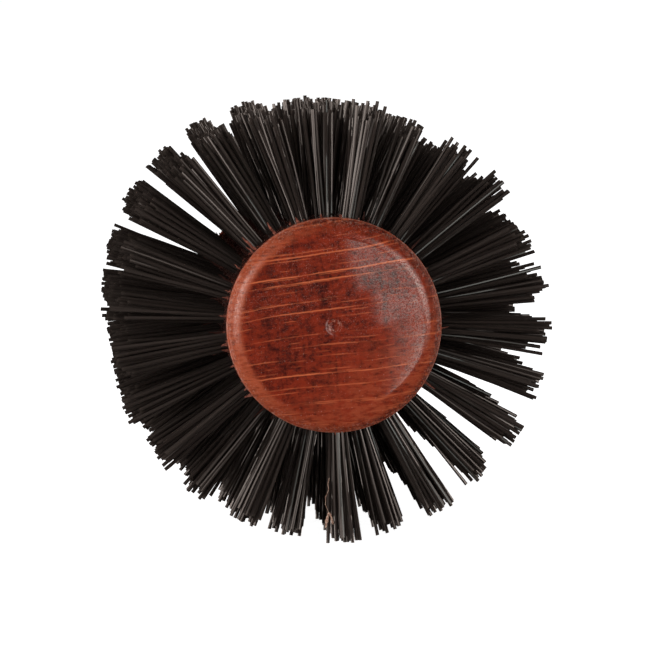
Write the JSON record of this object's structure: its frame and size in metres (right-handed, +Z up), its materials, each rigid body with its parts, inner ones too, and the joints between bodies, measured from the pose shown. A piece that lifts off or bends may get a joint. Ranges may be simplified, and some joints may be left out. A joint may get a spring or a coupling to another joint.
{
  "type": "round barrel hair brush",
  "caption": "Round barrel hair brush: a turned, stained beech barrel and handle in one piece, with staggered rows of straight black nylon tufts set in drilled holes.",
  "frame": {"origin": "bottom centre of the whole brush as it lies level on its lowest row of bristles, on the surface that it lies on", "axes": "+Y runs along the brush's axis, from the barrel's free end towards the handle; +Z is up; the flat free end of the barrel faces -Y"},
  "size_m": [0.0632, 0.222, 0.063],
  "materials": {
    "stained_beech": "red-brown stain under glossy lacquer",
    "bristle_nylon": "black extruded filament, slightly shiny",
    "anchor_wire": "plain drawn flat wire"
  },
  "bodies": {
    "root": {"turned_body": "stained_beech", "bristle_row_01": "bristle_nylon", "bristle_row_02": "bristle_nylon", "bristle_row_03": "bristle_nylon", "bristle_row_04": "bristle_nylon", "bristle_row_05": "bristle_nylon", "bristle_row_06": "bristle_nylon", "bristle_row_07": "bristle_nylon", "bristle_row_08": "bristle_nylon", "bristle_row_09": "bristle_nylon", "bristle_row_10": "bristle_nylon", "bristle_row_11": "bristle_nylon", "bristle_row_12": "bristle_nylon", "bristle_row_13": "bristle_nylon", "bristle_row_14": "bristle_nylon", "bristle_row_15": "bristle_nylon", "bristle_row_16": "bristle_nylon", "bristle_row_17": "bristle_nylon", "bristle_row_18": "bristle_nylon", "bristle_row_19": "bristle_nylon", "bristle_row_20": "bristle_nylon", "bristle_row_21": "bristle_nylon", "bristle_row_22": "bristle_nylon", "bristle_row_23": "bristle_nylon", "bristle_row_24": "bristle_nylon", "bristle_row_25": "bristle_nylon", "bristle_row_26": "bristle_nylon"}
  },
  "joints": []
}
